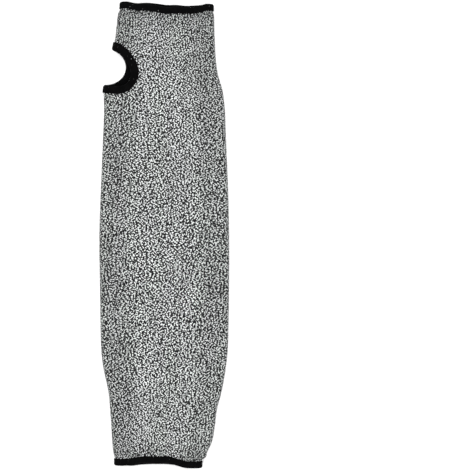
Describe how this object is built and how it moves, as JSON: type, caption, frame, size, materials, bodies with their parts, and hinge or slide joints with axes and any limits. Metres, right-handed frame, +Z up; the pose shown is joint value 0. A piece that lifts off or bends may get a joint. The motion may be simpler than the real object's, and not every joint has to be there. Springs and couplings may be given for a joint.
{
  "type": "cut resistant sleeve",
  "caption": "Knitted cut resistant arm sleeve lying flat, hollow from the upper arm to the hand, with a thumb hole in its side fold and overlocked edges.",
  "frame": {"origin": "under the middle of the sleeve, at the centre of the bottom of its bounding box, on the surface it lies on", "axes": "+Y along the sleeve towards the hand end, +X across it away from the thumb hole, +Z up from the surface it lies on"},
  "size_m": [0.1132, 0.4054, 0.017],
  "materials": {
    "knit": "matte, fine two-tone marl knit",
    "hem_thread": "matte black overlock stitching"
  },
  "bodies": {
    "root": {"knit_upper_arm": "knit", "knit_forearm": "knit", "knit_wrist": "knit", "knit_hand": "knit", "hand_hem": "hem_thread", "arm_hem": "hem_thread", "thumb_hem": "hem_thread"}
  },
  "joints": []
}
